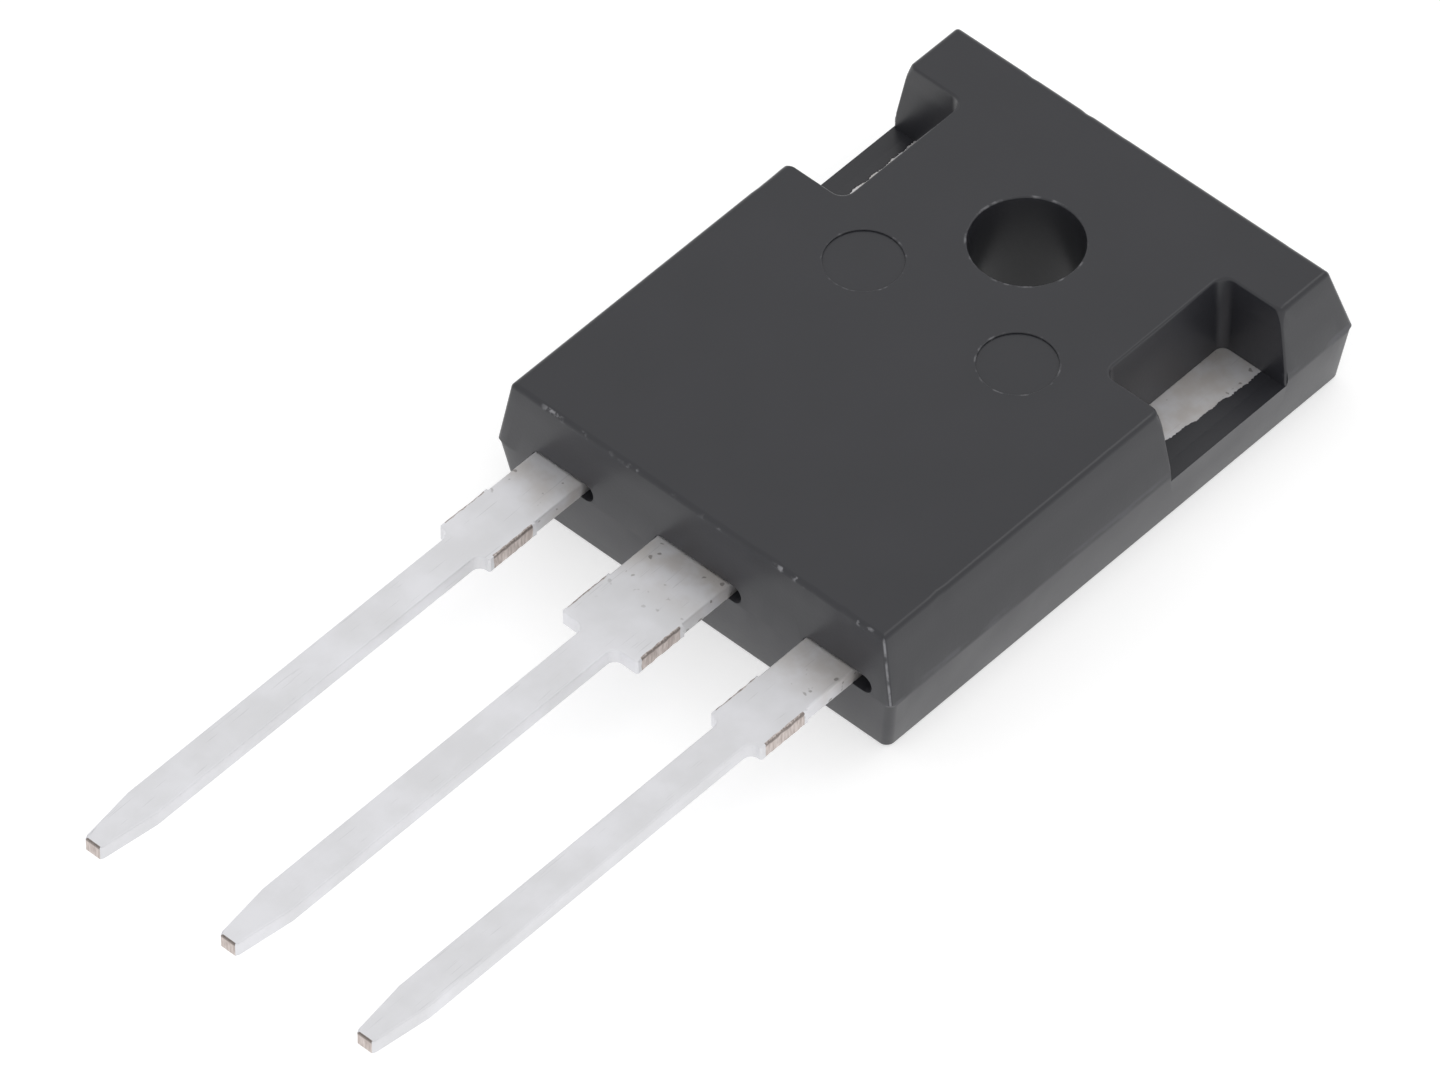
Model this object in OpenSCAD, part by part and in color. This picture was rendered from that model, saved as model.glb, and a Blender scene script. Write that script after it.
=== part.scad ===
// Power transistor in a three-lead moulded package with an isolated mounting hole.
// It lies on its back: the heat-spreader face is at z = 0 and the marked face looks up.
// The origin is on the mounting hole's axis, at the back face. The leads run towards -Y.

/* [Moulded case] */
// Length of the case at its parting plane
case_l = 20.75; // [20.3:0.05:21.5]
// Width of the case at its parting plane
case_w = 15.88; // [15.6:0.02:16.5]
// Thickness of the case, from the back face to the marked face
case_t = 5; // [4.7:0.05:5.4]
// Height of the parting plane, where the lead frame lies in the mould
parting_h = 2.32; // [2.25:0.01:2.5]
// Distance from the hole's axis to the end of the case
hole_to_end = 5.93; // [5.6:0.01:6.3]
// Draft of the long sides above the parting plane, in degrees
side_draft_upper = 9.7; // [3:0.1:12]
// Draft of the long sides below the parting plane, in degrees
side_draft_lower = 9.4; // [2:0.1:12]
// Draft of the hole end above the parting plane, in degrees
end_draft_upper = 15; // [5:0.5:20]
// Draft of the hole end below the parting plane, in degrees
end_draft_lower = 3; // [1:0.5:10]
// Draft of the lead end above the parting plane, in degrees
lead_end_draft_upper = 3.4; // [1:0.1:8]
// Draft of the lead end below the parting plane, in degrees
lead_end_draft_lower = 7.1; // [1:0.1:10]
// Flat across each upright corner of the case, measured along either side
corner_cut = 0.22; // [0.05:0.01:0.5]

/* [Mounting hole] */
// Diameter of the hole for the mounting screw
hole_d = 3.6; // [3.2:0.05:4]
// Diameter of the ring of mould compound round the hole, on the back face
ring_back_d = 7.2; // [6.8:0.1:7.6]
// Diameter of the same ring where it locks behind the paddle's upper edge
ring_neck_d = 6.6; // [6:0.1:6.8]

/* [Clamp notches] */
// Distance between the inner walls of the two notches, at the marked face
notch_span = 10.44; // [9.5:0.02:11.5]
// Length of a notch along the case, at the marked face
notch_l = 5.42; // [4.5:0.02:6]
// Middle of a notch, measured from the hole's axis towards the case end
notch_mid = 0.28; // [-0.5:0.02:0.8]
// Draft of the notch walls, in degrees
notch_draft = 3.3; // [1:0.1:6]
// Radius of a notch's upright corners, at its floor
notch_corner_r = 0.3; // [0.1:0.05:0.6]

/* [Ejector marks] */
// Diameter of an ejector pin mark
ejector_d = 2.5; // [2:0.1:3]
// Distance between the two ejector pin marks
ejector_pitch = 6.18; // [5:0.02:7.5]
// Distance from the hole's axis to the line of the ejector pin marks
ejector_back = 3.87; // [3.7:0.01:6]
// Depth of an ejector pin mark
ejector_depth = 0.06; // [0.03:0.01:0.15]

/* [Leads] */
// Distance from lead to lead
lead_pitch = 5.45; // [5.3:0.01:5.6]
// Thickness of the lead stock
lead_t = 0.56; // [0.5:0.01:0.65]
// Width of a lead's narrow part
lead_w = 1.2; // [1:0.02:1.4]
// Length of a lead outside the case
lead_l = 19.9; // [14:0.1:21]
// Width of the shoulder on the two outer leads
outer_shoulder_w = 1.91; // [1.65:0.01:2.2]
// Width of the shoulder on the middle lead
middle_shoulder_w = 2.91; // [2.6:0.01:3.2]
// Length of the shoulders outside the case
shoulder_l = 4.05; // [3.5:0.05:4.5]
// Radius of the inside corners between shoulder and narrow part
shoulder_fillet = 0.3; // [0.1:0.01:0.3]
// Length of the sheared dam-bar stub along each shoulder
dam_stub_l = 2.05; // [1:0.05:2.5]
// Height by which a dam-bar stub stands proud of its shoulder
dam_stub_w = 0.07; // [0.02:0.01:0.15]
// Length of the tapered tip
tip_l = 2.1; // [1:0.1:3]
// Width of the cut end of a tip
tip_w = 0.57; // [0.4:0.01:0.9]
// Depth of the pocket in the case beside each lead
pocket_depth = 0.5; // [0.2:0.05:0.7]
// Width of the pocket on the right of the first and second lead
pocket_w = 0.46; // [0.2:0.02:0.6]
// Width of the pocket on the right of the third lead
last_pocket_w = 0.72; // [0.3:0.02:0.9]
// Gap between a lead's left edge and the case, and above the lead in the pocket
pocket_gap = 0.08; // [0.03:0.01:0.15]

/* [Lead frame inside the case] */
// Length of the paddle that carries the die
paddle_l = 16.9; // [16.4:0.1:17.1]
// Width of the paddle
paddle_w = 13.8; // [13.2:0.05:14.1]
// Thickness of the paddle
paddle_t = 2.1; // [1.9:0.02:2.2]
// Distance from the case end to the paddle's edge
paddle_margin = 1.15; // [1:0.05:1.4]
// Overhang of the coined lip that locks the paddle in the compound
lip_overhang = 0.25; // [0.1:0.01:0.4]
// Thickness of the coined lip
lip_t = 0.8; // [0.5:0.05:1.2]
// Width of the locking groove across the paddle
groove_w = 0.6; // [0.3:0.05:0.8]
// Depth of the locking groove
groove_depth = 0.25; // [0.1:0.01:0.4]
// Distance from the hole's axis to the locking groove
groove_back = 4.4; // [4.1:0.05:4.8]
// Length over which the middle lead climbs from the paddle to the parting plane
jog_l = 0.9; // [0.6:0.05:1.2]
// Width of a bond post on an outer lead
post_w = 4.2; // [3.6:0.05:4.4]
// Length of a bond post
post_l = 1.6; // [1.2:0.05:1.6]
// Distance from the case's lead end to a bond post
post_inset = 0.8; // [0.7:0.05:0.9]
// Sideways offset of a bond post towards the middle lead
post_shift = 0.55; // [0.4:0.05:0.8]

/* [Die and bond wires] */
// Side of the square silicon die
die_w = 4.4; // [3.6:0.1:5]
// Thickness of the die
die_t = 0.28; // [0.2:0.01:0.35]
// Distance from the hole's axis to the middle of the die
die_back = 8.1; // [8:0.05:8.6]
// Thickness of the solder under the die
solder_t = 0.06; // [0.04:0.01:0.1]
// Width of the solder seen round the die
solder_margin = 0.15; // [0.05:0.05:0.2]
// Diameter of the base wire
base_wire_d = 0.25; // [0.2:0.01:0.3]
// Diameter of each emitter wire
emitter_wire_d = 0.38; // [0.3:0.01:0.42]
// Height of a wire's loop above the die
loop_rise = 1.15; // [1:0.05:1.3]
// Length of a wedge-bonded wire foot
foot_l = 0.8; // [0.6:0.05:0.9]

/* [Hidden] */
$fn = 48;

compound = "#45464b";
tinned = "#d9d9dc";
silicon = "#5a5f6a";
solder = "#a5a7aa";
aluminium = "#d8dadc";

// A cutter reaches this far past the surface that it opens
past = 1;

end_y = hole_to_end;
lead_end_y = hole_to_end - case_l;
upper_h = case_t - parting_h;
lead_top = parting_h + lead_t;

paddle_end_y = end_y - paddle_margin;
paddle_lead_y = paddle_end_y - paddle_l;
lip_z = paddle_t - lip_t;

die_y = -die_back;
die_z = paddle_t + solder_t;
die_top = die_z + die_t;

post_y = lead_end_y + post_inset;
post_mid_x = lead_pitch - post_shift;
post_mid_y = post_y + post_l / 2;

// Where the wires stand on the die and on the bond posts, as shares of those faces
base_die_xy = [-0.28 * die_w, die_y - 0.32 * die_w];
base_post_xy = [-post_mid_x + 0.1 * post_w, post_mid_y];
emitter_1_die_xy = [0.16 * die_w, die_y - 0.3 * die_w];
emitter_1_post_xy = [post_mid_x - 0.28 * post_w, post_mid_y];
emitter_2_die_xy = [0.32 * die_w, die_y - 0.1 * die_w];
emitter_2_post_xy = [post_mid_x + 0.12 * post_w, post_mid_y];

// A wedge foot is wider and flatter than its wire, as shares of the wire's diameter
foot_spread = 1.5;
foot_flat = 0.6;
// The wire leaves its foot this far above the bonded face
heel_lift = 0.03;
// The loop's bends, as shares of the wire's diameter, and its climb and fall in degrees
bend_share = 1.4;
climb = 58;
fall = 46;
// Steps in each bend, and flats round a wire
bend_steps = 5;
wire_sides = 10;

// Profile seen along the case: half width by height, with both drafts
module case_cross_section() {
    half = case_w / 2;
    back = half - parting_h * tan(side_draft_lower);
    face = half - upper_h * tan(side_draft_upper);
    polygon([[-back, 0], [back, 0], [half, parting_h], [face, case_t], [-face, case_t], [-half, parting_h]]);
}

// Profile seen from the side: length by height, with the drafts of the two ends
module case_side_section() {
    polygon([
        [lead_end_y + parting_h * tan(lead_end_draft_lower), 0],
        [end_y - parting_h * tan(end_draft_lower), 0],
        [end_y, parting_h],
        [end_y - upper_h * tan(end_draft_upper), case_t],
        [lead_end_y + upper_h * tan(lead_end_draft_upper), case_t],
        [lead_end_y, parting_h]
    ]);
}

// Plan of the case, which only trims the four upright corners
module case_plan() {
    x = case_w / 2 + past;
    far = end_y + past;
    near = lead_end_y - past;
    c = corner_cut + 2 * past;
    polygon([
        [-x, near + c], [-x + c, near], [x - c, near], [x, near + c],
        [x, far - c], [x - c, far], [-x + c, far], [-x, far - c]
    ]);
}

// Turns a section drawn as Y by Z into a bar of the given width, centred on X
module across(width) {
    translate([-width / 2, 0, 0]) rotate([90, 0, 90]) linear_extrude(width) children();
}

// Turns a section drawn as X by Z into a bar between two places along Y
module along(from_y, to_y) {
    translate([0, to_y, 0]) rotate([90, 0, 0]) linear_extrude(to_y - from_y) children();
}

module case_form() {
    intersection() {
        along(lead_end_y - past, end_y + past) case_cross_section();
        across(case_w + 2 * past) case_side_section();
        linear_extrude(case_t) case_plan();
    }
}

// Clamp notch on the +X side: it opens upwards and sideways, down to the paddle's top
module notch() {
    depth = case_t - paddle_t;
    lean = tan(notch_draft);
    inner = notch_span / 2;
    outer = case_w / 2 + past;
    half = notch_l / 2;
    difference() {
        intersection() {
            along(notch_mid - notch_l, notch_mid + notch_l)
                polygon([
                    [inner + depth * lean, paddle_t], [outer, paddle_t],
                    [outer, case_t + past], [inner - past * lean, case_t + past]
                ]);
            across(2 * outer)
                polygon([
                    [notch_mid - half + depth * lean, paddle_t], [notch_mid + half - depth * lean, paddle_t],
                    [notch_mid + half + past * lean, case_t + past], [notch_mid - half - past * lean, case_t + past]
                ]);
        }
        translate([0, notch_mid, 0]) notch_corner();
        translate([0, notch_mid, 0]) mirror([0, 1, 0]) notch_corner();
    }
}

// What stays in a notch's upright corner: all that lies outside a cone whose slope is the draft,
// so that both drafted walls run into it without an edge
module notch_corner() {
    depth = case_t - paddle_t;
    lean = tan(notch_draft);
    reach = notch_corner_r + past;
    translate([
        notch_span / 2 + depth * lean + notch_corner_r,
        notch_l / 2 - depth * lean - notch_corner_r,
        paddle_t - past
    ]) difference() {
        translate([-reach, 0, 0]) cube([reach, reach, depth + 2 * past]);
        cylinder(
            r1 = notch_corner_r - past * lean, r2 = notch_corner_r + (depth + past) * lean, h = depth + 2 * past
        );
    }
}

// Opening in the case round a lead, with a pocket on the lead's right that ends in a half round
module lead_pocket(lead_x, shoulder_w, right_w) {
    left = lead_x - shoulder_w / 2 - pocket_gap;
    end_r = (lead_t + pocket_gap) / 2;
    end_x = lead_x + shoulder_w / 2 + right_w - end_r;
    translate([left, lead_end_y - past, parting_h]) cube([end_x - left, past + pocket_depth, 2 * end_r]);
    translate([end_x, lead_end_y + pocket_depth, parting_h + end_r])
        rotate([90, 0, 0]) cylinder(r = end_r, h = past + pocket_depth);
}

module ejector_marks() {
    for (side = [-1, 1])
        translate([side * ejector_pitch / 2, -ejector_back, case_t - ejector_depth])
            cylinder(d = ejector_d, h = ejector_depth + past);
}

// The case is moulded round the frame, the die and the wires, so it meets them face to face
module moulded_case() {
    color(compound) difference() {
        case_form();
        translate([0, 0, -past]) cylinder(d = hole_d, h = case_t + 2 * past);
        notch();
        mirror([1, 0, 0]) notch();
        ejector_marks();
        lead_pocket(-lead_pitch, outer_shoulder_w, pocket_w);
        lead_pocket(0, middle_shoulder_w, pocket_w);
        lead_pocket(lead_pitch, outer_shoulder_w, last_pocket_w);
        collector_frame_form();
        outer_lead_form(-1);
        outer_lead_form(1);
        die_solder_form();
        silicon_die_form();
        base_wire_form();
        emitter_wire_1_form();
        emitter_wire_2_form();
    }
}

// Plan of a lead outside the case: shoulder, dam-bar stubs, fillets, narrow part and tapered tip.
// It is drawn downwards from the case's lead end at y = 0.
module lead_plan(shoulder_w) {
    half_s = shoulder_w / 2;
    half_w = lead_w / 2;
    half_t = tip_w / 2;
    stub = half_s + dam_stub_w;
    step_y = dam_stub_l - shoulder_l;
    f = shoulder_fillet;
    polygon([
        [-half_s, 0], [-half_s, step_y], [-stub, step_y], [-stub, -shoulder_l],
        [-half_w - f, -shoulder_l], [-half_w, -shoulder_l - f],
        [-half_w, tip_l - lead_l], [-half_t, -lead_l], [half_t, -lead_l], [half_w, tip_l - lead_l],
        [half_w, -shoulder_l - f], [half_w + f, -shoulder_l],
        [stub, -shoulder_l], [stub, step_y], [half_s, step_y], [half_s, 0]
    ]);
}

// Round cutter that turns the cut corners under a shoulder into concave fillets
module shoulder_fillets() {
    reach = lead_w / 2 + shoulder_fillet;
    for (side = [-1, 1])
        translate([side * reach, lead_end_y - shoulder_l - shoulder_fillet, parting_h - past])
            cylinder(r = shoulder_fillet, h = lead_t + 2 * past);
}

module lead_outside(lead_x, shoulder_w) {
    translate([lead_x, 0, 0]) difference() {
        translate([0, lead_end_y, parting_h]) linear_extrude(lead_t) lead_plan(shoulder_w);
        shoulder_fillets();
    }
}

// Outer lead with its bond post inside the case, on the side given by -1 or 1
module outer_lead_form(side) {
    lead_outside(side * lead_pitch, outer_shoulder_w);
    translate([side * lead_pitch - outer_shoulder_w / 2, lead_end_y, parting_h])
        cube([outer_shoulder_w, post_inset, lead_t]);
    translate([side * post_mid_x - post_w / 2, post_y, parting_h])
        cube([post_w, post_l, lead_t]);
}

// Section of the middle lead from the paddle's edge up to the parting plane
module jog_section() {
    low = paddle_t - lead_t;
    start = paddle_lead_y + lip_overhang;
    foot_y = paddle_lead_y - lead_t / 4;
    head_y = foot_y - jog_l;
    polygon([
        [start, low], [start, paddle_t], [foot_y, paddle_t], [head_y, lead_top],
        [lead_end_y, lead_top], [lead_end_y, parting_h], [head_y, parting_h], [foot_y, low]
    ]);
}

// The paddle, its coined lip, its ring seat and groove, and the middle lead that is one with it
module collector_frame_form() {
    difference() {
        union() {
            translate([-paddle_w / 2, paddle_lead_y, lip_z]) cube([paddle_w, paddle_l, lip_t]);
            translate([lip_overhang - paddle_w / 2, paddle_lead_y + lip_overhang, 0])
                cube([paddle_w - 2 * lip_overhang, paddle_l - 2 * lip_overhang, lip_z]);
            across(middle_shoulder_w) jog_section();
            lead_outside(0, middle_shoulder_w);
        }
        translate([0, 0, -past]) cylinder(d = ring_neck_d, h = paddle_t + 2 * past);
        translate([0, 0, -past]) cylinder(d = ring_back_d, h = lip_z + past);
        translate([-paddle_w, -groove_back - groove_w / 2, paddle_t - groove_depth])
            cube([2 * paddle_w, groove_w, groove_depth + past]);
    }
}

module silicon_die_form() {
    translate([-die_w / 2, die_y - die_w / 2, die_z]) cube([die_w, die_w, die_t]);
}

module die_solder_form() {
    side = die_w + 2 * solder_margin;
    translate([-side / 2, die_y - side / 2, paddle_t]) cube([side, side, solder_t]);
}

// Stations of one bend in the X-Z plane: place and heading, about a centre, between two angles.
// A bend that turns left runs below its centre, and one that turns right runs above it.
function bend(x, z, r, from_angle, to_angle, heading) = [
    for (k = [0:bend_steps])
        let (a = from_angle + (to_angle - from_angle) * k / bend_steps)
            [x + r * cos(a), z + r * sin(a), a + heading]
];

// Round wire swept along stations that each give a place and a heading
module swept_wire(stations, wire_d) {
    r = wire_d / 2;
    last = len(stations) - 1;
    points = [
        for (s = stations) for (k = [0:wire_sides - 1])
            let (b = 360 * k / wire_sides)
                [s[0] - r * sin(b) * sin(s[2]), -r * cos(b), s[1] + r * sin(b) * cos(s[2])]
    ];
    walls = [
        for (i = [0:last - 1]) for (k = [0:wire_sides - 1])
            let (m = (k + 1) % wire_sides, p = i * wire_sides, q = p + wire_sides)
                each [[p + k, p + m, q + m], [p + k, q + m, q + k]]
    ];
    start = [for (k = [0:wire_sides - 1]) wire_sides - 1 - k];
    end = [for (k = [0:wire_sides - 1]) last * wire_sides + k];
    polyhedron(points, concat(walls, [start, end]));
}

module wedge_foot(wire_d) {
    translate([-foot_l / 2, -foot_spread * wire_d / 2, 0])
        cube([foot_l, foot_spread * wire_d, foot_flat * wire_d]);
}

// Wire from the die to a bond post: up at one angle, level, down at another, with four bends
module bond_wire(from, to, wire_d) {
    span = norm(to - from);
    turn = atan2(to[1] - from[1], to[0] - from[0]);
    step_up = lead_top - die_top;
    r = bend_share * wire_d;
    die_axis_z = heel_lift + wire_d / 2;
    post_axis_z = step_up + die_axis_z;
    top_z = die_axis_z + loop_rise;
    climb_l = (loop_rise - 2 * r * (1 - cos(climb))) / sin(climb);
    fall_l = (loop_rise - step_up - 2 * r * (1 - cos(fall))) / sin(fall);
    heel_x = foot_l / 2;
    crest_x = heel_x + 2 * r * sin(climb) + climb_l * cos(climb);
    toe_x = span - foot_l / 2;
    brow_x = toe_x - 2 * r * sin(fall) - fall_l * cos(fall);
    stations = concat(
        [[0, die_axis_z, 0]],
        bend(heel_x, die_axis_z + r, r, -90, climb - 90, 90),
        bend(crest_x, top_z - r, r, 90 + climb, 90, -90),
        bend(brow_x, top_z - r, r, 90, 90 - fall, -90),
        bend(toe_x, post_axis_z + r, r, -90 - fall, -90, 90),
        [[span, post_axis_z, 0]]
    );
    translate([from[0], from[1], die_top]) rotate([0, 0, turn]) {
        swept_wire(stations, wire_d);
        wedge_foot(wire_d);
        translate([span, 0, step_up]) wedge_foot(wire_d);
    }
}

module base_wire_form() {
    bond_wire(base_die_xy, base_post_xy, base_wire_d);
}

module emitter_wire_1_form() {
    bond_wire(emitter_1_die_xy, emitter_1_post_xy, emitter_wire_d);
}

module emitter_wire_2_form() {
    bond_wire(emitter_2_die_xy, emitter_2_post_xy, emitter_wire_d);
}

module collector_frame() {
    color(tinned) collector_frame_form();
}

module base_lead() {
    color(tinned) outer_lead_form(-1);
}

module emitter_lead() {
    color(tinned) outer_lead_form(1);
}

module silicon_die() {
    color(silicon) silicon_die_form();
}

module die_solder() {
    color(solder) die_solder_form();
}

module base_wire() {
    color(aluminium) base_wire_form();
}

module emitter_wire_1() {
    color(aluminium) emitter_wire_1_form();
}

module emitter_wire_2() {
    color(aluminium) emitter_wire_2_form();
}

moulded_case();
collector_frame();
base_lead();
emitter_lead();
silicon_die();
die_solder();
base_wire();
emitter_wire_1();
emitter_wire_2();
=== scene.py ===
import math

import bpy
import numpy as np
from mathutils import Matrix, Vector


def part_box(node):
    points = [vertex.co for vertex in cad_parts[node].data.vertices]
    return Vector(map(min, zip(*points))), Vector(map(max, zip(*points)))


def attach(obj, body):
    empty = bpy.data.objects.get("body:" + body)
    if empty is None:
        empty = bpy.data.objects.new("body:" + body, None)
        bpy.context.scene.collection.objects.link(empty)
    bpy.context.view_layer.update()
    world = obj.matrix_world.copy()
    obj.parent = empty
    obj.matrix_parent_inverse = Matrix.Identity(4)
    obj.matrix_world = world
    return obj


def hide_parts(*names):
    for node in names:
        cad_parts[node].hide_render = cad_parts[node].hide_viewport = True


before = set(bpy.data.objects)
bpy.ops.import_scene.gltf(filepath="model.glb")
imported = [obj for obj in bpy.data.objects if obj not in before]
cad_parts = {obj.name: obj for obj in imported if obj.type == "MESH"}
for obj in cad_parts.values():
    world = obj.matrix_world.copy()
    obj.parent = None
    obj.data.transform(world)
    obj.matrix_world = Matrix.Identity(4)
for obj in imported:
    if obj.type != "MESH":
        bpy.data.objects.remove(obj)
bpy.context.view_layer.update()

# Millimetres are the unit of every size below; the meshes are written in metres.
MM = 0.001
PHOTO_W = 1440

# Places that the solids give, in millimetres
CASE_LOW, CASE_HIGH = (np.array(corner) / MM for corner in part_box("moulded_case"))
FRAME_LOW, FRAME_HIGH = (np.array(corner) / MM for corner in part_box("collector_frame"))
BASE_LOW, BASE_HIGH = (np.array(corner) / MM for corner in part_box("base_lead"))
HALF_W = CASE_HIGH[0]
END_Y = CASE_HIGH[1]
LEAD_END_Y = CASE_LOW[1]
CASE_T = CASE_HIGH[2]
LEAD_Z, LEAD_TOP = BASE_LOW[2], BASE_HIGH[2]
TIP_Y = FRAME_LOW[1]
PADDLE_HALF_W = FRAME_HIGH[0]
PADDLE_END_Y = FRAME_HIGH[1]

# Sizes of the case that the boxes don't give
PARTING_Z = LEAD_Z
SIDE_DRAFT = (9.4, 9.7)
END_DRAFT = (3.0, 15.0)
LEAD_END_DRAFT = (7.1, 3.4)
TOP_ROUND = 0.17
BACK_ROUND = 0.12
CORNER_ROUND = (0.3, 0.14)
HOLE_R = 1.8
NOTCH_INNER = 5.22
NOTCH_Y = (-2.43, 2.99)
NOTCH_DRAFT = math.tan(math.radians(3.3))
NOTCH_CORNER = 0.3
EJECTOR_R = 1.25
EJECTOR_XY = (3.09, -3.87)
EJECTOR_DEPTH = 0.06
POCKET_GAP = 0.08
POCKET_DEPTH = 0.5
POCKETS = (0.46, 0.46, 0.72)

# Sizes of the lead frame that the boxes don't give
PITCH = 5.45
PADDLE_T = 2.1
PADDLE_L = 16.9
LIP_Z = 1.3
LIP = 0.25
RING_R = (3.6, 3.3)
NARROW_W = 1.2
TIP_W = 0.57
TIP_L = 2.1
SHOULDER_L = 4.05
SHOULDER_W = (1.91, 2.91, 1.91)
STUB_L = 2.05
STUB_W = 0.07
FILLET = 0.3
LEAD_T = LEAD_TOP - LEAD_Z


def linear(code):
    """sRGB hex colour to linear RGBA."""
    parts = [int(code[k:k + 2], 16) / 255 for k in (1, 3, 5)]
    return tuple(c / 12.92 if c <= 0.04045 else ((c + 0.055) / 1.055) ** 2.4 for c in parts) + (1.0,)


def add(tree, kind, inputs=None, **settings):
    """Adds one node, sets its properties, and sets or links its inputs."""
    made = tree.nodes.new("ShaderNode" + kind)
    for name, value in settings.items():
        setattr(made, name, value)
    for name, value in (inputs or {}).items():
        socket = made.inputs[name]
        if isinstance(value, bpy.types.NodeSocket):
            tree.links.new(value, socket)
        else:
            socket.default_value = value
    return made


def reckon(tree, operation, *values):
    """Result of one Math node."""
    return add(tree, "Math", dict(enumerate(values)), operation=operation).outputs[0]


def ramp(tree, value, low, high, to_low=0.0, to_high=1.0):
    """A value mapped smoothly from one range to another."""
    inputs = {"Value": value, "From Min": low, "From Max": high, "To Min": to_low, "To Max": to_high}
    return add(tree, "MapRange", inputs, interpolation_type="SMOOTHSTEP").outputs["Result"]


def band(tree, value, centre, half, soft):
    """1 where a value lies within half of its centre, falling to 0 over the soft width."""
    away = reckon(tree, "ABSOLUTE", reckon(tree, "SUBTRACT", value, centre))
    return ramp(tree, away, half, half + soft, 1.0, 0.0)


def noise(tree, place, size_mm, detail=2.0, stretch=(1.0, 1.0, 1.0)):
    """Noise whose features have the given size in millimetres, stretched per axis."""
    spread = add(tree, "Mapping", {"Vector": place, "Scale": tuple(1 / (size_mm * s) for s in stretch)})
    made = add(tree, "TexNoise", {"Vector": spread.outputs["Vector"], "Scale": 1.0, "Detail": detail})
    return made.outputs["Fac"]


def blend_colour(tree, share, first, second):
    """Mix of two colours, each a hex code or a socket."""
    ends = [linear(c) if isinstance(c, str) else c for c in (first, second)]
    return add(tree, "MixRGB", {"Fac": share, "Color1": ends[0], "Color2": ends[1]}).outputs["Color"]


def surface(name):
    """New material with its shader; returns the material, its tree and the shader."""
    material = bpy.data.materials.new(name)
    material.use_nodes = True
    tree = material.node_tree
    return material, tree, tree.nodes["Principled BSDF"]


def place_in_mm(tree):
    """Object coordinates in millimetres: the vector, and its X, Y and Z."""
    metres = add(tree, "TexCoord").outputs["Object"]
    place = add(tree, "VectorMath", {0: metres, "Scale": 1 / MM}, operation="SCALE").outputs["Vector"]
    axes = add(tree, "SeparateXYZ", {"Vector": place})
    return place, axes.outputs["X"], axes.outputs["Y"], axes.outputs["Z"]


def camera():
    """Long lens looking down on the part from its right front, as in the photograph."""
    azimuth = math.radians(42.488)
    elevation = math.radians(48.324)
    roll = math.radians(0.044)
    distance = 479.85 * MM
    focal_px = 16172.0
    target = Vector((-0.181, -13.402, 2.5)) * MM
    back = Vector((
        math.sin(azimuth) * math.cos(elevation),
        -math.cos(azimuth) * math.cos(elevation),
        math.sin(elevation),
    ))
    data = bpy.data.cameras.new("camera")
    data.sensor_fit = "HORIZONTAL"
    data.sensor_width = 36.0
    data.lens = focal_px / PHOTO_W * data.sensor_width
    data.clip_start = 0.01
    data.clip_end = 10.0
    eye = bpy.data.objects.new("camera", data)
    turn = (-back).to_track_quat("-Z", "Y").to_matrix().to_4x4() @ Matrix.Rotation(roll, 4, "Z")
    eye.matrix_world = Matrix.Translation(target + back * distance) @ turn
    bpy.context.scene.collection.objects.link(eye)
    bpy.context.scene.camera = eye


def studio():
    """Opal light table under a white surround, with one soft panel high behind the part."""
    world = bpy.data.worlds.new("white_surround")
    world.use_nodes = True
    world.node_tree.nodes["Background"].inputs["Color"].default_value = linear("#ffffff")
    world.node_tree.nodes["Background"].inputs["Strength"].default_value = 0.9
    bpy.context.scene.world = world
    half, below = 0.6, -0.02 * MM
    plane = bpy.data.meshes.new("light_table")
    plane.from_pydata([(-half, -half, below), (half, -half, below), (half, half, below),
                       (-half, half, below)], [], [(0, 1, 2, 3)])
    table = bpy.data.objects.new("light_table", plane)
    bpy.context.scene.collection.objects.link(table)
    material, tree, shader = surface("opal_light_table")
    shader.inputs["Base Color"].default_value = linear("#c8c8c8")
    shader.inputs["Roughness"].default_value = 0.9
    shader.inputs["Emission Color"].default_value = linear("#ffffff")
    shader.inputs["Emission Strength"].default_value = 0.55
    plane.materials.append(material)
    spot = Vector((0.1, 0.35, 0.6))
    panel = bpy.data.lights.new("soft_panel", "AREA")
    panel.shape = "SQUARE"
    panel.size = 0.3
    panel.energy = 0.4
    lamp = bpy.data.objects.new("soft_panel", panel)
    lamp.location = spot
    lamp.rotation_mode = "QUATERNION"
    lamp.rotation_quaternion = (-spot).to_track_quat("-Z", "Y")
    bpy.context.scene.collection.objects.link(lamp)
    bpy.context.scene.view_settings.view_transform = "Standard"


def shell(name, points, quads, caps=()):
    """Mesh object from points in millimetres, an array of quads and a list of flat caps."""
    mesh = bpy.data.meshes.new(name)
    faces = quads.tolist() + [cap.tolist() for cap in caps]
    mesh.from_pydata((np.asarray(points, float) * MM).tolist(), [], faces)
    made = bpy.data.objects.new(name, mesh)
    bpy.context.scene.collection.objects.link(made)
    return made


def ring_quads(rings, around):
    """Quads between neighbouring rings of a grid; ring i, point j is vertex i * around + j."""
    i, j = np.meshgrid(np.arange(rings - 1), np.arange(around), indexing="ij")
    k = (j + 1) % around
    return np.stack([i * around + j, i * around + k, (i + 1) * around + k, (i + 1) * around + j],
                    -1).reshape(-1, 4)


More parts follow.
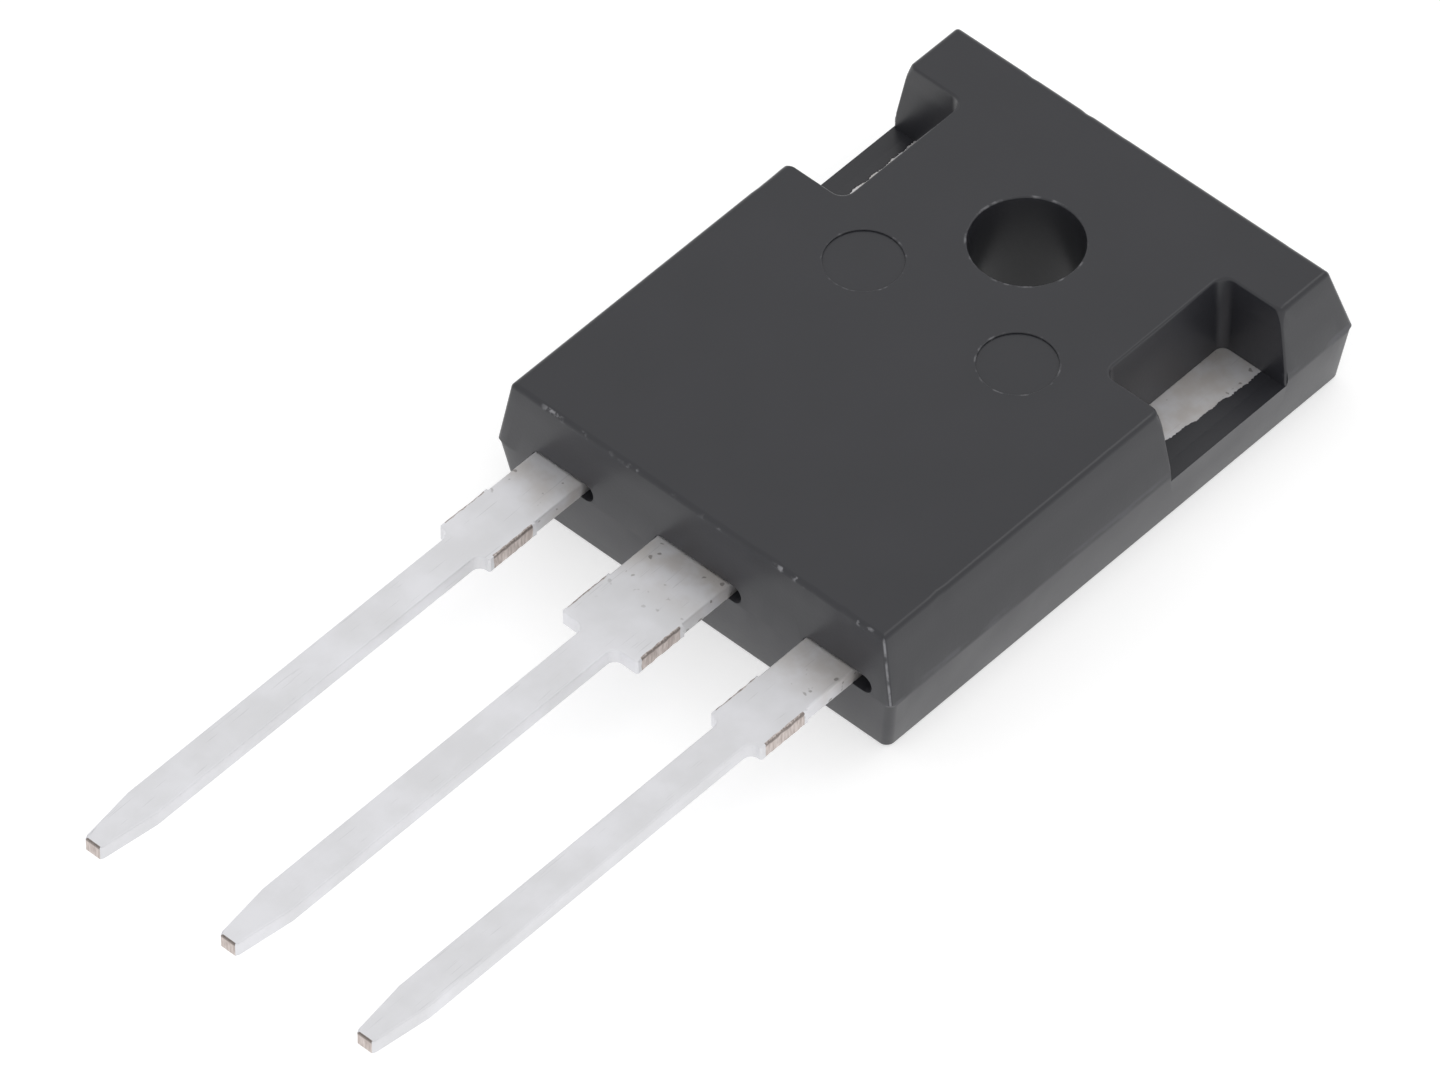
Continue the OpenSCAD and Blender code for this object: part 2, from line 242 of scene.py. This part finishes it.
def loft(name, rings):
    """Closed shell through a stack of closed rings (rings, points, 3), with a flat cap at each end.
    Rings run counter-clockwise seen from the end that they are stacked towards."""
    rings = np.asarray(rings, float)
    count, around = rings.shape[:2]
    caps = [np.arange(around)[::-1], (count - 1) * around + np.arange(around)]
    return shell(name, rings.reshape(-1, 3), ring_quads(count, around), caps)


def arc(cx, cy, r, start, stop, steps=8):
    """Points along a circle from one angle to another, in degrees."""
    a = np.radians(np.linspace(start, stop, steps + 1))
    return np.stack([cx + r * np.cos(a), cy + r * np.sin(a)], 1)


def rounded_rectangle(x0, x1, y0, y1, r, along=10):
    """Counter-clockwise outline: four quarter circles of radius r joined by evenly split sides."""
    corners = [arc(x1 - r, y0 + r, r, -90, 0), arc(x1 - r, y1 - r, r, 0, 90),
               arc(x0 + r, y1 - r, r, 90, 180), arc(x0 + r, y0 + r, r, 180, 270)]
    points = []
    for corner, after in zip(corners, corners[1:] + corners[:1]):
        share = np.linspace(0, 1, along + 1)[1:-1, None]
        points += [corner, corner[-1] + (after[0] - corner[-1]) * share]
    return np.concatenate(points)


def lifted(outline, z):
    """Plan outline as a ring at height z."""
    return np.column_stack([outline, np.full(len(outline), z)])


def inset_outline(outline, by):
    """Moves each point of a counter-clockwise outline inwards along its mitred normal."""
    ahead = np.roll(outline, -1, 0) - outline
    ahead /= np.linalg.norm(ahead, axis=1)[:, None]
    behind = np.roll(ahead, 1, 0)
    normal = np.column_stack([-ahead[:, 1], ahead[:, 0]])
    mitre = normal + np.column_stack([-behind[:, 1], behind[:, 0]])
    mitre /= np.maximum((mitre * normal).sum(1), 0.4)[:, None]
    return outline + mitre * np.reshape(by, (-1, 1))


def wander(count, width, seed):
    """Closed random walk between 0 and 1, smoothed over the given number of points."""
    steps = np.random.default_rng(seed).normal(0, 1, count)
    kernel = np.ones(width) / width
    walk = np.convolve(np.concatenate([steps, steps[:width - 1]]), kernel, "valid")
    return (walk - walk.min()) / (walk.max() - walk.min())


def apply_modifiers(body):
    """Replaces a piece's mesh with the result of its modifiers."""
    graph = bpy.context.evaluated_depsgraph_get()
    graph.update()
    made = bpy.data.meshes.new_from_object(body.evaluated_get(graph))
    body.modifiers.clear()
    body.data = made


def subtract(body, *cutters):
    """Cuts each closed cutter out of a body with an exact boolean and removes the cutter."""
    for cutter in cutters:
        change = body.modifiers.new("cut", "BOOLEAN")
        change.operation = "DIFFERENCE"
        change.solver = "EXACT"
        change.object = cutter
        apply_modifiers(body)
        bpy.data.objects.remove(cutter)


def join(first, second):
    """Adds a second piece's shell to the first piece's mesh."""
    points = []
    faces = []
    shift = 0
    for mesh in (first.data, second.data):
        at = np.empty(len(mesh.vertices) * 3)
        corners = np.empty(len(mesh.loops), np.int32)
        starts = np.empty(len(mesh.polygons), np.int32)
        mesh.vertices.foreach_get("co", at)
        mesh.loops.foreach_get("vertex_index", corners)
        mesh.polygons.foreach_get("loop_start", starts)
        points.append(at.reshape(-1, 3))
        faces += [face.tolist() for face in np.split(corners + shift, starts[1:])]
        shift += len(mesh.vertices)
    mesh = bpy.data.meshes.new(first.name)
    mesh.from_pydata(np.concatenate(points).tolist(), [], faces)
    first.data = mesh
    bpy.data.objects.remove(second)


def dress(body, materials, node, sharp=30.0):
    """Finishes a piece: its materials, even shading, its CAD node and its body."""
    body.data.materials.clear()
    for material in materials:
        body.data.materials.append(material)
    body.data.polygons.foreach_set("use_smooth", np.ones(len(body.data.polygons), bool))
    body.data.set_sharp_from_angle(angle=math.radians(sharp))
    even = body.modifiers.new("flat_faces_stay_flat", "WEIGHTED_NORMAL")
    even.keep_sharp = True
    if node:
        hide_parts(node)
    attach(body, "root")


def case_plan(z, inset=0.0):
    """Plan of the case at one height: a rectangle pulled in by each wall's draft and the inset."""
    upper = int(z > PARTING_Z)
    away = abs(z - PARTING_Z)
    side, near, far = (away * math.tan(math.radians(d[upper])) + inset
                       for d in (SIDE_DRAFT, LEAD_END_DRAFT, END_DRAFT))
    corner = max(CORNER_ROUND[upper] - inset, 0.03)
    return rounded_rectangle(side - HALF_W, HALF_W - side, LEAD_END_Y + near, END_Y - far, corner, 60)


def case_rings():
    """Rings of the case from its back to its face. Each wall leans by its draft; the back and face
    edges are quarter rounds, the face's with small chips, and the parting line is a ragged ridge."""
    ragged_depth, ragged_half = 0.02, 0.07
    chip_depth, chip_start = 0.05, 0.72
    corner_points = 9
    count = len(case_plan(0))
    straight = np.arange(count) % (count // 4) > corner_points
    ragged = ragged_depth * wander(count, 2, 7) * straight
    chips = chip_depth * np.clip(wander(count, 3, 12) - chip_start, 0, 1) / (1 - chip_start) * straight
    turn = np.radians(np.linspace(0, 90, 6))
    levels = [(BACK_ROUND * (1 - math.cos(a)), BACK_ROUND * (1 - math.sin(a)), 0) for a in turn]
    levels += [(1.2, 0, 0), (PARTING_Z - ragged_half, 0, 0), (PARTING_Z, 0, ragged),
               (PARTING_Z + ragged_half, 0, 0), (3.4, 0, 0), (4.2, 0, 0)]
    levels += [(CASE_T - TOP_ROUND * (1 - math.sin(a)), TOP_ROUND * (1 - math.cos(a)), chips)
               for a in turn]
    return [lifted(inset_outline(case_plan(z, inset), wear), z) for z, inset, wear in levels]


def revolved(name, profile, centre=(0.0, 0.0), around=96):
    """Solid of revolution about an upright axis; the profile is (radius, height) from bottom to top."""
    a = np.linspace(0, 2 * math.pi, around, endpoint=False)
    circle = np.column_stack([np.cos(a), np.sin(a)])
    return loft(name, [lifted(circle * r + centre, z) for r, z in profile])


def flared(r, low, high, flare, steps=4):
    """Profile of a straight bore whose mouth opens in a quarter round of the given radius."""
    turn = np.radians(np.linspace(0, 90, steps + 1))
    mouth = [(r + flare * (1 - math.cos(a)), high - flare + flare * math.sin(a)) for a in turn]
    return [(r, low)] + mouth + [(r + flare, high + 1)]


def notch_cutter(side):
    """Drafted pocket, open upwards and sideways: conical inside corners, rounded outer edges where
    it meets the case's side, rounder still near the face, and an eased rim."""
    rim = 0.08
    mouth_low, mouth_growth, growth_start = 0.08, 0.26, 4.3
    turn = np.radians(np.linspace(0, 90, 5))
    levels = [(z, 0.0) for z in (PADDLE_T, 2.7, 3.4, 4.0, growth_start, 4.5, 4.7, 4.85)]
    levels += [(CASE_T - rim + rim * math.sin(a), rim * (1 - math.cos(a))) for a in turn]
    levels += [(CASE_T + 1, rim)]
    far = HALF_W + 2
    rings = []
    for z, ease in levels:
        lean = (CASE_T - z) * NOTCH_DRAFT if z < CASE_T else 0.0
        height = min(z, CASE_T)
        inner = NOTCH_INNER + lean - ease
        y0, y1 = NOTCH_Y[0] + lean - ease, NOTCH_Y[1] - lean + ease
        r = NOTCH_CORNER + (height - PADDLE_T) * NOTCH_DRAFT
        side_x = HALF_W - abs(height - PARTING_Z) * math.tan(math.radians(SIDE_DRAFT[1]))
        growth = max(0.0, (height - growth_start) / (CASE_T - growth_start))
        mouth = mouth_low + mouth_growth * growth ** 2
        plan = np.concatenate([
            [(far, y0 - mouth)],
            [(far, y1 + mouth)],
            arc(side_x - mouth, y1 + mouth, mouth, 0, -90),
            arc(inner + r, y1 - r, r, 90, 180),
            arc(inner + r, y0 + r, r, 180, 270),
            arc(side_x - mouth, y0 - mouth, mouth, 90, 0),
        ])
        if side < 0:
            plan = (plan * [-1, 1])[::-1]
        rings.append(lifted(plan, z))
    return loft("notch_cutter", rings)


def pocket_cutter(x, half, right):
    """Opening in the lead end round one lead, ending in a half round on its right, lofted inwards."""
    end_r = (LEAD_T + POCKET_GAP) / 2 - 0.002
    plan = rounded_rectangle(x - half - POCKET_GAP, x + half + right, PARTING_Z,
                             LEAD_TOP + POCKET_GAP, end_r)
    middle = plan.mean(0)
    rings = []
    for depth, shrink in ((POCKET_DEPTH, 0.14), (0.9 * POCKET_DEPTH, 0.05), (0.6 * POCKET_DEPTH, 0),
                          (0.06, 0), (0.0, -0.03), (-1, -0.03)):
        drawn = middle + (plan - middle) * (1 - shrink)
        rings.append(np.column_stack([drawn[:, 0], np.full(len(drawn), LEAD_END_Y + depth), drawn[:, 1]]))
    return loft("pocket_cutter", rings)


def paddle_plan(inset, r=0.1):
    """Outline of the paddle, pulled in by the given inset."""
    x = PADDLE_HALF_W - inset
    return rounded_rectangle(-x, x, PADDLE_END_Y - PADDLE_L + inset, PADDLE_END_Y - inset, r)


def ring_profile(low, high):
    """Profile of the stepped hole in the paddle, with the compound's ring in it."""
    step = 0.001
    return [(RING_R[0], low), (RING_R[0], LIP_Z - step), (RING_R[1], LIP_Z), (RING_R[1], high)]


def paddle_cutter():
    """Seat of the paddle in the case's back, with the ring round the hole left standing."""
    clear = 0.015
    step = 0.001
    seat = loft("paddle_cutter", [
        lifted(paddle_plan(LIP), -1), lifted(paddle_plan(LIP), LIP_Z - step), lifted(paddle_plan(0), LIP_Z),
        lifted(paddle_plan(0), PADDLE_T + clear)])
    subtract(seat, revolved("ring_keeper", ring_profile(-2, CASE_T)))
    return seat


def moulded_body(material):
    """The epoxy case: a drafted, edge-rounded loft with its notches, hole, marks and pockets cut in."""
    body = loft("case_moulding", case_rings())
    subtract(body, paddle_cutter(), notch_cutter(-1), notch_cutter(1),
             revolved("hole_cutter", flared(HOLE_R, -1, CASE_T, 0.06)))
    for side in (-1, 1):
        mark = flared(EJECTOR_R, CASE_T - EJECTOR_DEPTH, CASE_T, 0.03)
        subtract(body, revolved("mark_cutter", mark, (side * EJECTOR_XY[0], EJECTOR_XY[1])))
    for k, right in enumerate(POCKETS):
        subtract(body, pocket_cutter((k - 1) * PITCH, SHOULDER_W[k] / 2, right))
    dress(body, [material], "moulded_case")


def split_long(outline, longest):
    """Adds even points along an outline's long stretches."""
    points = []
    for a, b in zip(outline, np.roll(outline, -1, 0)):
        n = max(1, int(math.ceil(np.linalg.norm(b - a) / longest)))
        points.append(a + (b - a) * np.arange(n)[:, None] / n)
    return np.concatenate(points)


def lead_outline(shoulder, inner):
    """Plan of a lead about x = 0, counter-clockwise: its right half from the inside end down to the
    tip is shoulder, dam-bar stub, round inside corner, narrow part and tapered tip."""
    half, narrow, tip = shoulder / 2, NARROW_W / 2, TIP_W / 2
    end = LEAD_END_Y - SHOULDER_L
    nose = 0.06
    right = np.array(
        list(inner)
        + [(half, end + STUB_L), (half + STUB_W, end + STUB_L), (half + STUB_W, end + nose),
           (half + STUB_W - nose, end)]
        + arc(narrow + FILLET, end - FILLET, FILLET, 90, 180).tolist()
        + [(narrow, TIP_Y + TIP_L), (tip + nose, TIP_Y + 2 * nose), (tip, TIP_Y)])
    return np.concatenate([right, (right * [-1, 1])[::-1]])[::-1]


def stamped(name, outline, x):
    """Plate punched from strip: its top edges roll over, its lower edges carry a fine burr, and the
    cut end of the tip dips. The sheared dam-bar faces and the tip's end are the second material."""
    roll, burr = 0.06, 0.02
    tear_depth = 0.035
    dip_depth, dip_length = 0.06, 0.3
    turn = np.radians(np.linspace(0, 90, 5))
    levels = [(LEAD_Z, burr), (LEAD_Z + burr, 0.0), (LEAD_Z + 0.2, 0.0), (LEAD_Z + 0.38, 0.0)]
    levels += [(LEAD_TOP - roll + roll * math.sin(a), roll * (1 - math.cos(a))) for a in turn]
    fine = split_long(outline, 0.16)
    chance = np.random.default_rng(int(10 * x) + 90)
    end = LEAD_END_Y - SHOULDER_L
    out = np.abs(fine[:, 0] - x)
    sheared = (out > SHOULDER_W[0] / 2 + STUB_W - 0.01) & (fine[:, 1] > end + 0.08)
    sheared &= fine[:, 1] < end + STUB_L - 0.02
    cut_end = fine[:, 1] < TIP_Y + 0.005
    rings = []
    for z, inset in levels:
        rough = np.where(sheared, chance.uniform(0, tear_depth, len(fine)), 0.0)
        ring = lifted(inset_outline(fine, inset + rough), z)
        if z > LEAD_TOP - roll / 2:
            dip = np.clip((TIP_Y + dip_length - ring[:, 1]) / dip_length, 0, 1)
            ring[:, 2] -= dip_depth * dip ** 2
        rings.append(ring)
    body = loft(name, rings)
    around = len(fine)
    after = np.roll(sheared, -1) & sheared | np.roll(cut_end, -1) & cut_end
    marks = np.zeros(len(body.data.polygons), np.int32)
    marks[:(len(rings) - 1) * around] = np.tile(after, len(rings) - 1)
    body.data.polygons.foreach_set("material_index", marks)
    return body


def outer_lead(name, node, side, materials):
    """Base or emitter lead: one punched plate with its bond post inside the case."""
    post_mid, post_half = -side * 0.55, 2.1
    half = SHOULDER_W[0] / 2
    foot = LEAD_END_Y + 0.8
    plan = lead_outline(SHOULDER_W[0], [(half, foot)])
    post = np.array([(post_mid + post_half, foot), (post_mid + post_half, BASE_HIGH[1]),
                     (post_mid - post_half, BASE_HIGH[1]), (post_mid - post_half, foot)])
    plan = np.concatenate([post, plan]) + [side * PITCH, 0]
    body = stamped(name, plan, side * PITCH)
    keep = np.empty(len(body.data.polygons), np.int32)
    body.data.polygons.foreach_get("material_index", keep)
    dress(body, materials, node)
    body.data.polygons.foreach_set("material_index", keep)


def heat_spreader():
    """Thick paddle with its coined lip and the stepped hole that the compound's ring fills."""
    ease = 0.04
    body = loft("paddle", [
        lifted(paddle_plan(LIP + ease), 0), lifted(paddle_plan(LIP), ease), lifted(paddle_plan(LIP), LIP_Z),
        lifted(paddle_plan(0), LIP_Z + 0.001), lifted(paddle_plan(0), PADDLE_T - ease),
        lifted(paddle_plan(ease), PADDLE_T)])
    subtract(body, revolved("ring_cutter", ring_profile(-1, PADDLE_T + 1)))
    return body


def collector(materials):
    """The paddle and the middle lead, one piece of strip; the lead climbs out of the paddle's edge.
    In each notch the paddle's edge runs out in a thin burr under the compound's film."""
    half = SHOULDER_W[1] / 2
    edge = PADDLE_END_Y - PADDLE_L
    body = stamped("collector_stamping", lead_outline(SHOULDER_W[1], [(half, edge - 1)]), 0.0)
    keep = np.empty(len(body.data.polygons), np.int32)
    body.data.polygons.foreach_get("material_index", keep)
    low = PADDLE_T - LEAD_T
    section = [(edge + 0.5, low), (edge + 0.5, PADDLE_T - 0.01), (edge - 0.14, PADDLE_T - 0.01),
               (edge - 1.02, LEAD_TOP - 0.01), (edge - 1.02, LEAD_Z + 0.01), (edge - 0.14, low)]
    join(body, loft("jog", [[(x, y, z) for y, z in section] for x in (-half, half)]))
    join(body, heat_spreader())
    for side in (-1, 1):
        span = sorted((side * (PADDLE_HALF_W - 0.1), side * (PADDLE_HALF_W + 0.22)))
        strip = rounded_rectangle(*span, NOTCH_Y[0] + 0.1, NOTCH_Y[1] - 0.1, 0.02)
        join(body, loft("burr", [lifted(strip, PADDLE_T - 0.01), lifted(strip, PADDLE_T + 0.006)]))
    dress(body, materials, "collector_frame")
    marks = np.zeros(len(body.data.polygons), np.int32)
    marks[:len(keep)] = keep
    body.data.polygons.foreach_set("material_index", marks)


def notch_film(side, material):
    """Film of compound over the paddle's edge in a notch: a band whose inner edge is ragged, with
    small teeth on a slow wander."""
    count = 260
    y = np.linspace(NOTCH_Y[0] + 0.13, NOTCH_Y[1] - 0.13, count)
    seed = 40 + side
    teeth = 0.07 * np.clip(wander(count, 3, seed) - 0.45, 0, 1) + 0.1 * wander(count, 25, seed + 5)
    inner = (6.79 + 0.065 * y if side > 0 else np.full(count, 6.99)) + teeth - 0.04
    outer = np.full(count, 7.35)
    top, under = PADDLE_T + 0.022, PADDLE_T + 0.001
    rows = [(outer, under + 0.002), (inner + 0.012, top), (inner, under), (outer, under)]
    rings = np.stack([np.column_stack([x, y, np.full(count, z)]) for x, z in rows], 1)
    if side < 0:
        rings = (rings * [-1, 1, 1])[::-1]
    body = loft("notch_film_right" if side > 0 else "notch_film_left", rings)
    dress(body, [material], None)


def moulded_epoxy():
    """Silica-filled epoxy from a spark-eroded mould: satin black with a fine even grain; handling
    left pale broken lines along its front edge, on the rims of its marks and along the parting line.
    The pale broken line on the upright front-right corner is a painted highlight. The grain is drawn
    at 0.1 mm, coarser than the real filler, so that it shows."""
    material, tree, shader = surface("moulded_epoxy")
    place, x, y, z = place_in_mm(tree)
    cloud = noise(tree, place, 3.0, 3.0)
    tint = blend_colour(tree, cloud, "#242529", "#2a2a2f")
    near_face = ramp(tree, z, CASE_T - 0.22, CASE_T - 0.1)

    broken = noise(tree, place, 0.35, 3.0)
    dashes = ramp(tree, broken, 0.52, 0.64)
    long_breaks = ramp(tree, noise(tree, place, 2.4, 2.0), 0.5, 0.62)
    front_y = LEAD_END_Y + (CASE_T - PARTING_Z) * math.tan(math.radians(LEAD_END_DRAFT[1]))
    front = reckon(tree, "MULTIPLY", band(tree, y, front_y + 0.03, 0.03, 0.05), near_face)
    front = reckon(tree, "MULTIPLY", front, reckon(tree, "MULTIPLY", dashes, long_breaks))

    lean_x, lean_y = math.tan(math.radians(SIDE_DRAFT[1])), math.tan(math.radians(LEAD_END_DRAFT[1]))
    from_x = reckon(tree, "MULTIPLY_ADD", z, lean_x, reckon(tree, "SUBTRACT", x, HALF_W + PARTING_Z * lean_x))
    from_y = reckon(tree, "MULTIPLY_ADD", z, -lean_y,
                    reckon(tree, "SUBTRACT", y, LEAD_END_Y - PARTING_Z * lean_y))
    # Painted highlight: a pale broken line on the upright front-right corner above the parting, standing in
    # for light on its rounded edge.
    corner = reckon(tree, "MULTIPLY", band(tree, from_x, -0.04, 0.01, 0.04),
                    band(tree, from_y, 0.04, 0.01, 0.04))
    corner = reckon(tree, "MULTIPLY", corner, ramp(tree, z, PARTING_Z + 0.05, PARTING_Z + 0.1))
    corner = reckon(tree, "MULTIPLY", corner, ramp(tree, broken, 0.3, 0.6, 0.0, 0.8))

    side = reckon(tree, "ABSOLUTE", x)
    from_mark = reckon(tree, "SQRT", reckon(tree, "ADD",
                       reckon(tree, "POWER", reckon(tree, "SUBTRACT", side, EJECTOR_XY[0]), 2.0),
                       reckon(tree, "POWER", reckon(tree, "SUBTRACT", y, EJECTOR_XY[1]), 2.0)))
    from_hole = reckon(tree, "SQRT", reckon(tree, "ADD",
                       reckon(tree, "POWER", x, 2.0), reckon(tree, "POWER", y, 2.0)))
    rims = reckon(tree, "MAXIMUM", band(tree, from_mark, EJECTOR_R + 0.03, 0.012, 0.03),
                  band(tree, from_hole, HOLE_R + 0.05, 0.015, 0.04))
    rims = reckon(tree, "MULTIPLY", reckon(tree, "MULTIPLY", rims, near_face),
                  ramp(tree, broken, 0.5, 0.7, 0.0, 0.45))

    ridge = band(tree, z, PARTING_Z + 0.12, 0.05, 0.14)
    ridge = reckon(tree, "MULTIPLY", ridge, ramp(tree, side, HALF_W - 0.25, HALF_W - 0.15))
    scuffs = ramp(tree, noise(tree, place, 1.1, 4.0, (1.0, 1.6, 0.5)), 0.5, 0.66)
    ridge = reckon(tree, "MULTIPLY", ridge, scuffs)

    # Worn front edge and rims, together with the painted corner highlight, lightened towards #a4a4a8 and made
    # glossier.
    wear_and_corner_highlight = reckon(tree, "MAXIMUM", reckon(tree, "MAXIMUM", front, corner), rims)
    tint = blend_colour(tree, reckon(tree, "MULTIPLY", ridge, 0.6), tint, "#55555a")
    tint = blend_colour(tree, reckon(tree, "MULTIPLY", wear_and_corner_highlight, 0.65), tint, "#a4a4a8")
    gloss = ramp(tree, cloud, 0.3, 0.7, 0.3, 0.36)
    gloss = reckon(tree, "MULTIPLY_ADD", reckon(tree, "MAXIMUM", ridge, wear_and_corner_highlight), 0.2, gloss)
    grain = noise(tree, place, 0.1, 2.0)
    bump = add(tree, "Bump", {"Height": grain, "Strength": 0.1, "Distance": 0.02 * MM})
    shader.inputs["IOR"].default_value = 1.5
    tree.links.new(tint, shader.inputs["Base Color"])
    tree.links.new(gloss, shader.inputs["Roughness"])
    tree.links.new(bump.outputs["Normal"], shader.inputs["Normal"])
    return material


def tin_plate():
    """Matte tin electroplated on the copper strip: pale, nearly shadowless grey. Next to the case and
    inside it the tin is painted darker, partly mould bleed and partly a painted reflection of the dark
    case; fine marks run along the strip's rolling direction."""
    material, tree, shader = surface("matte_tin_plate")
    place, _, y, _ = place_in_mm(tree)
    cloud = noise(tree, place, 1.8, 4.0)
    tint = blend_colour(tree, ramp(tree, cloud, 0.3, 0.7), "#e8e8eb", "#e1e1e3")
    # Painted darker towards the case and within it: partly mould bleed, partly a painted reflection and shade
    # of the dark case.
    painted_case_reflection_and_bleed = reckon(tree, "MULTIPLY", ramp(tree, y, LEAD_END_Y - 2.4, LEAD_END_Y - 0.1),
                   ramp(tree, noise(tree, place, 0.9, 3.0), 0.3, 0.65, 0.1, 0.6))
    tint = blend_colour(tree, painted_case_reflection_and_bleed, tint, "#cdc6c0")
    spots = reckon(tree, "MULTIPLY", ramp(tree, noise(tree, place, 0.28, 1.0), 0.7, 0.76),
                   ramp(tree, y, LEAD_END_Y - 3.5, LEAD_END_Y - 0.5))
    tint = blend_colour(tree, reckon(tree, "MULTIPLY", spots, 0.7), tint, "#8d8884")
    rolling = noise(tree, place, 0.06, 2.0, (1.0, 14.0, 1.0))
    scratches = ramp(tree, noise(tree, place, 0.05, 1.0, (1.0, 30.0, 1.0)), 0.7, 0.76)
    tint = blend_colour(tree, reckon(tree, "MULTIPLY", scratches, 0.25), tint, "#b9b9bb")
    gloss = ramp(tree, cloud, 0.3, 0.7, 0.62, 0.66)
    bump = add(tree, "Bump", {"Height": rolling, "Strength": 0.12, "Distance": 0.01 * MM})
    shader.inputs["Metallic"].default_value = 1.0
    tree.links.new(tint, shader.inputs["Base Color"])
    tree.links.new(gloss, shader.inputs["Roughness"])
    tree.links.new(bump.outputs["Normal"], shader.inputs["Normal"])
    return material


def sheared_copper():
    """Copper laid bare where the dam bar and the tip were cut after plating: a dark line under the top
    edge, partly torn copper and partly painted shade under the rolled edge, and a pinkish grey face
    with upright tear marks below it."""
    material, tree, shader = surface("sheared_copper")
    place, _, _, z = place_in_mm(tree)
    tears = noise(tree, place, 0.07, 3.0, (1.0, 1.0, 7.0))
    tint = blend_colour(tree, ramp(tree, tears, 0.3, 0.7), "#bdb2ad", "#dcd3cf")
    # Dark band just under the top edge: partly torn copper, partly painted shade under the rolled edge.
    line = band(tree, reckon(tree, "MULTIPLY_ADD", tears, 0.08, z), LEAD_TOP - 0.02, 0.03, 0.05)
    tint = blend_colour(tree, reckon(tree, "MULTIPLY", line, 0.6), tint, "#5d554f")
    bump = add(tree, "Bump", {"Height": tears, "Strength": 0.25, "Distance": 0.02 * MM})
    shader.inputs["Metallic"].default_value = 1.0
    shader.inputs["Roughness"].default_value = 0.6
    tree.links.new(tint, shader.inputs["Base Color"])
    tree.links.new(bump.outputs["Normal"], shader.inputs["Normal"])
    return material


def sealed_material(name, code, metallic, roughness, size_mm):
    """Finish of a piece that is sealed inside the case: one tone with a faint cloud of its own size."""
    material, tree, shader = surface(name)
    place = place_in_mm(tree)[0]
    shade = blend_colour(tree, ramp(tree, noise(tree, place, size_mm), 0.3, 0.7), code, "#8a8c90")
    tint = blend_colour(tree, 0.15, code, shade)
    shader.inputs["Metallic"].default_value = metallic
    shader.inputs["Roughness"].default_value = roughness
    tree.links.new(tint, shader.inputs["Base Color"])
    return material


def paint(node, material):
    """Gives a CAD node its finish without touching its shape."""
    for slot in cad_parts[node].material_slots:
        slot.material = material


camera()
studio()
epoxy = moulded_epoxy()
strip = [tin_plate(), sheared_copper()]
moulded_body(epoxy)
outer_lead("base_stamping", "base_lead", -1, strip)
outer_lead("emitter_stamping", "emitter_lead", 1, strip)
collector(strip)
notch_film(-1, epoxy)
notch_film(1, epoxy)

paint("silicon_die", sealed_material("polished_silicon", "#43464f", 0.0, 0.12, 1.5))
paint("die_solder", sealed_material("reflowed_solder", "#a6a7aa", 1.0, 0.35, 0.4))
aluminium = sealed_material("drawn_aluminium", "#dcdddf", 1.0, 0.28, 0.2)
for wire in ("base_wire", "emitter_wire_1", "emitter_wire_2"):
    paint(wire, aluminium)
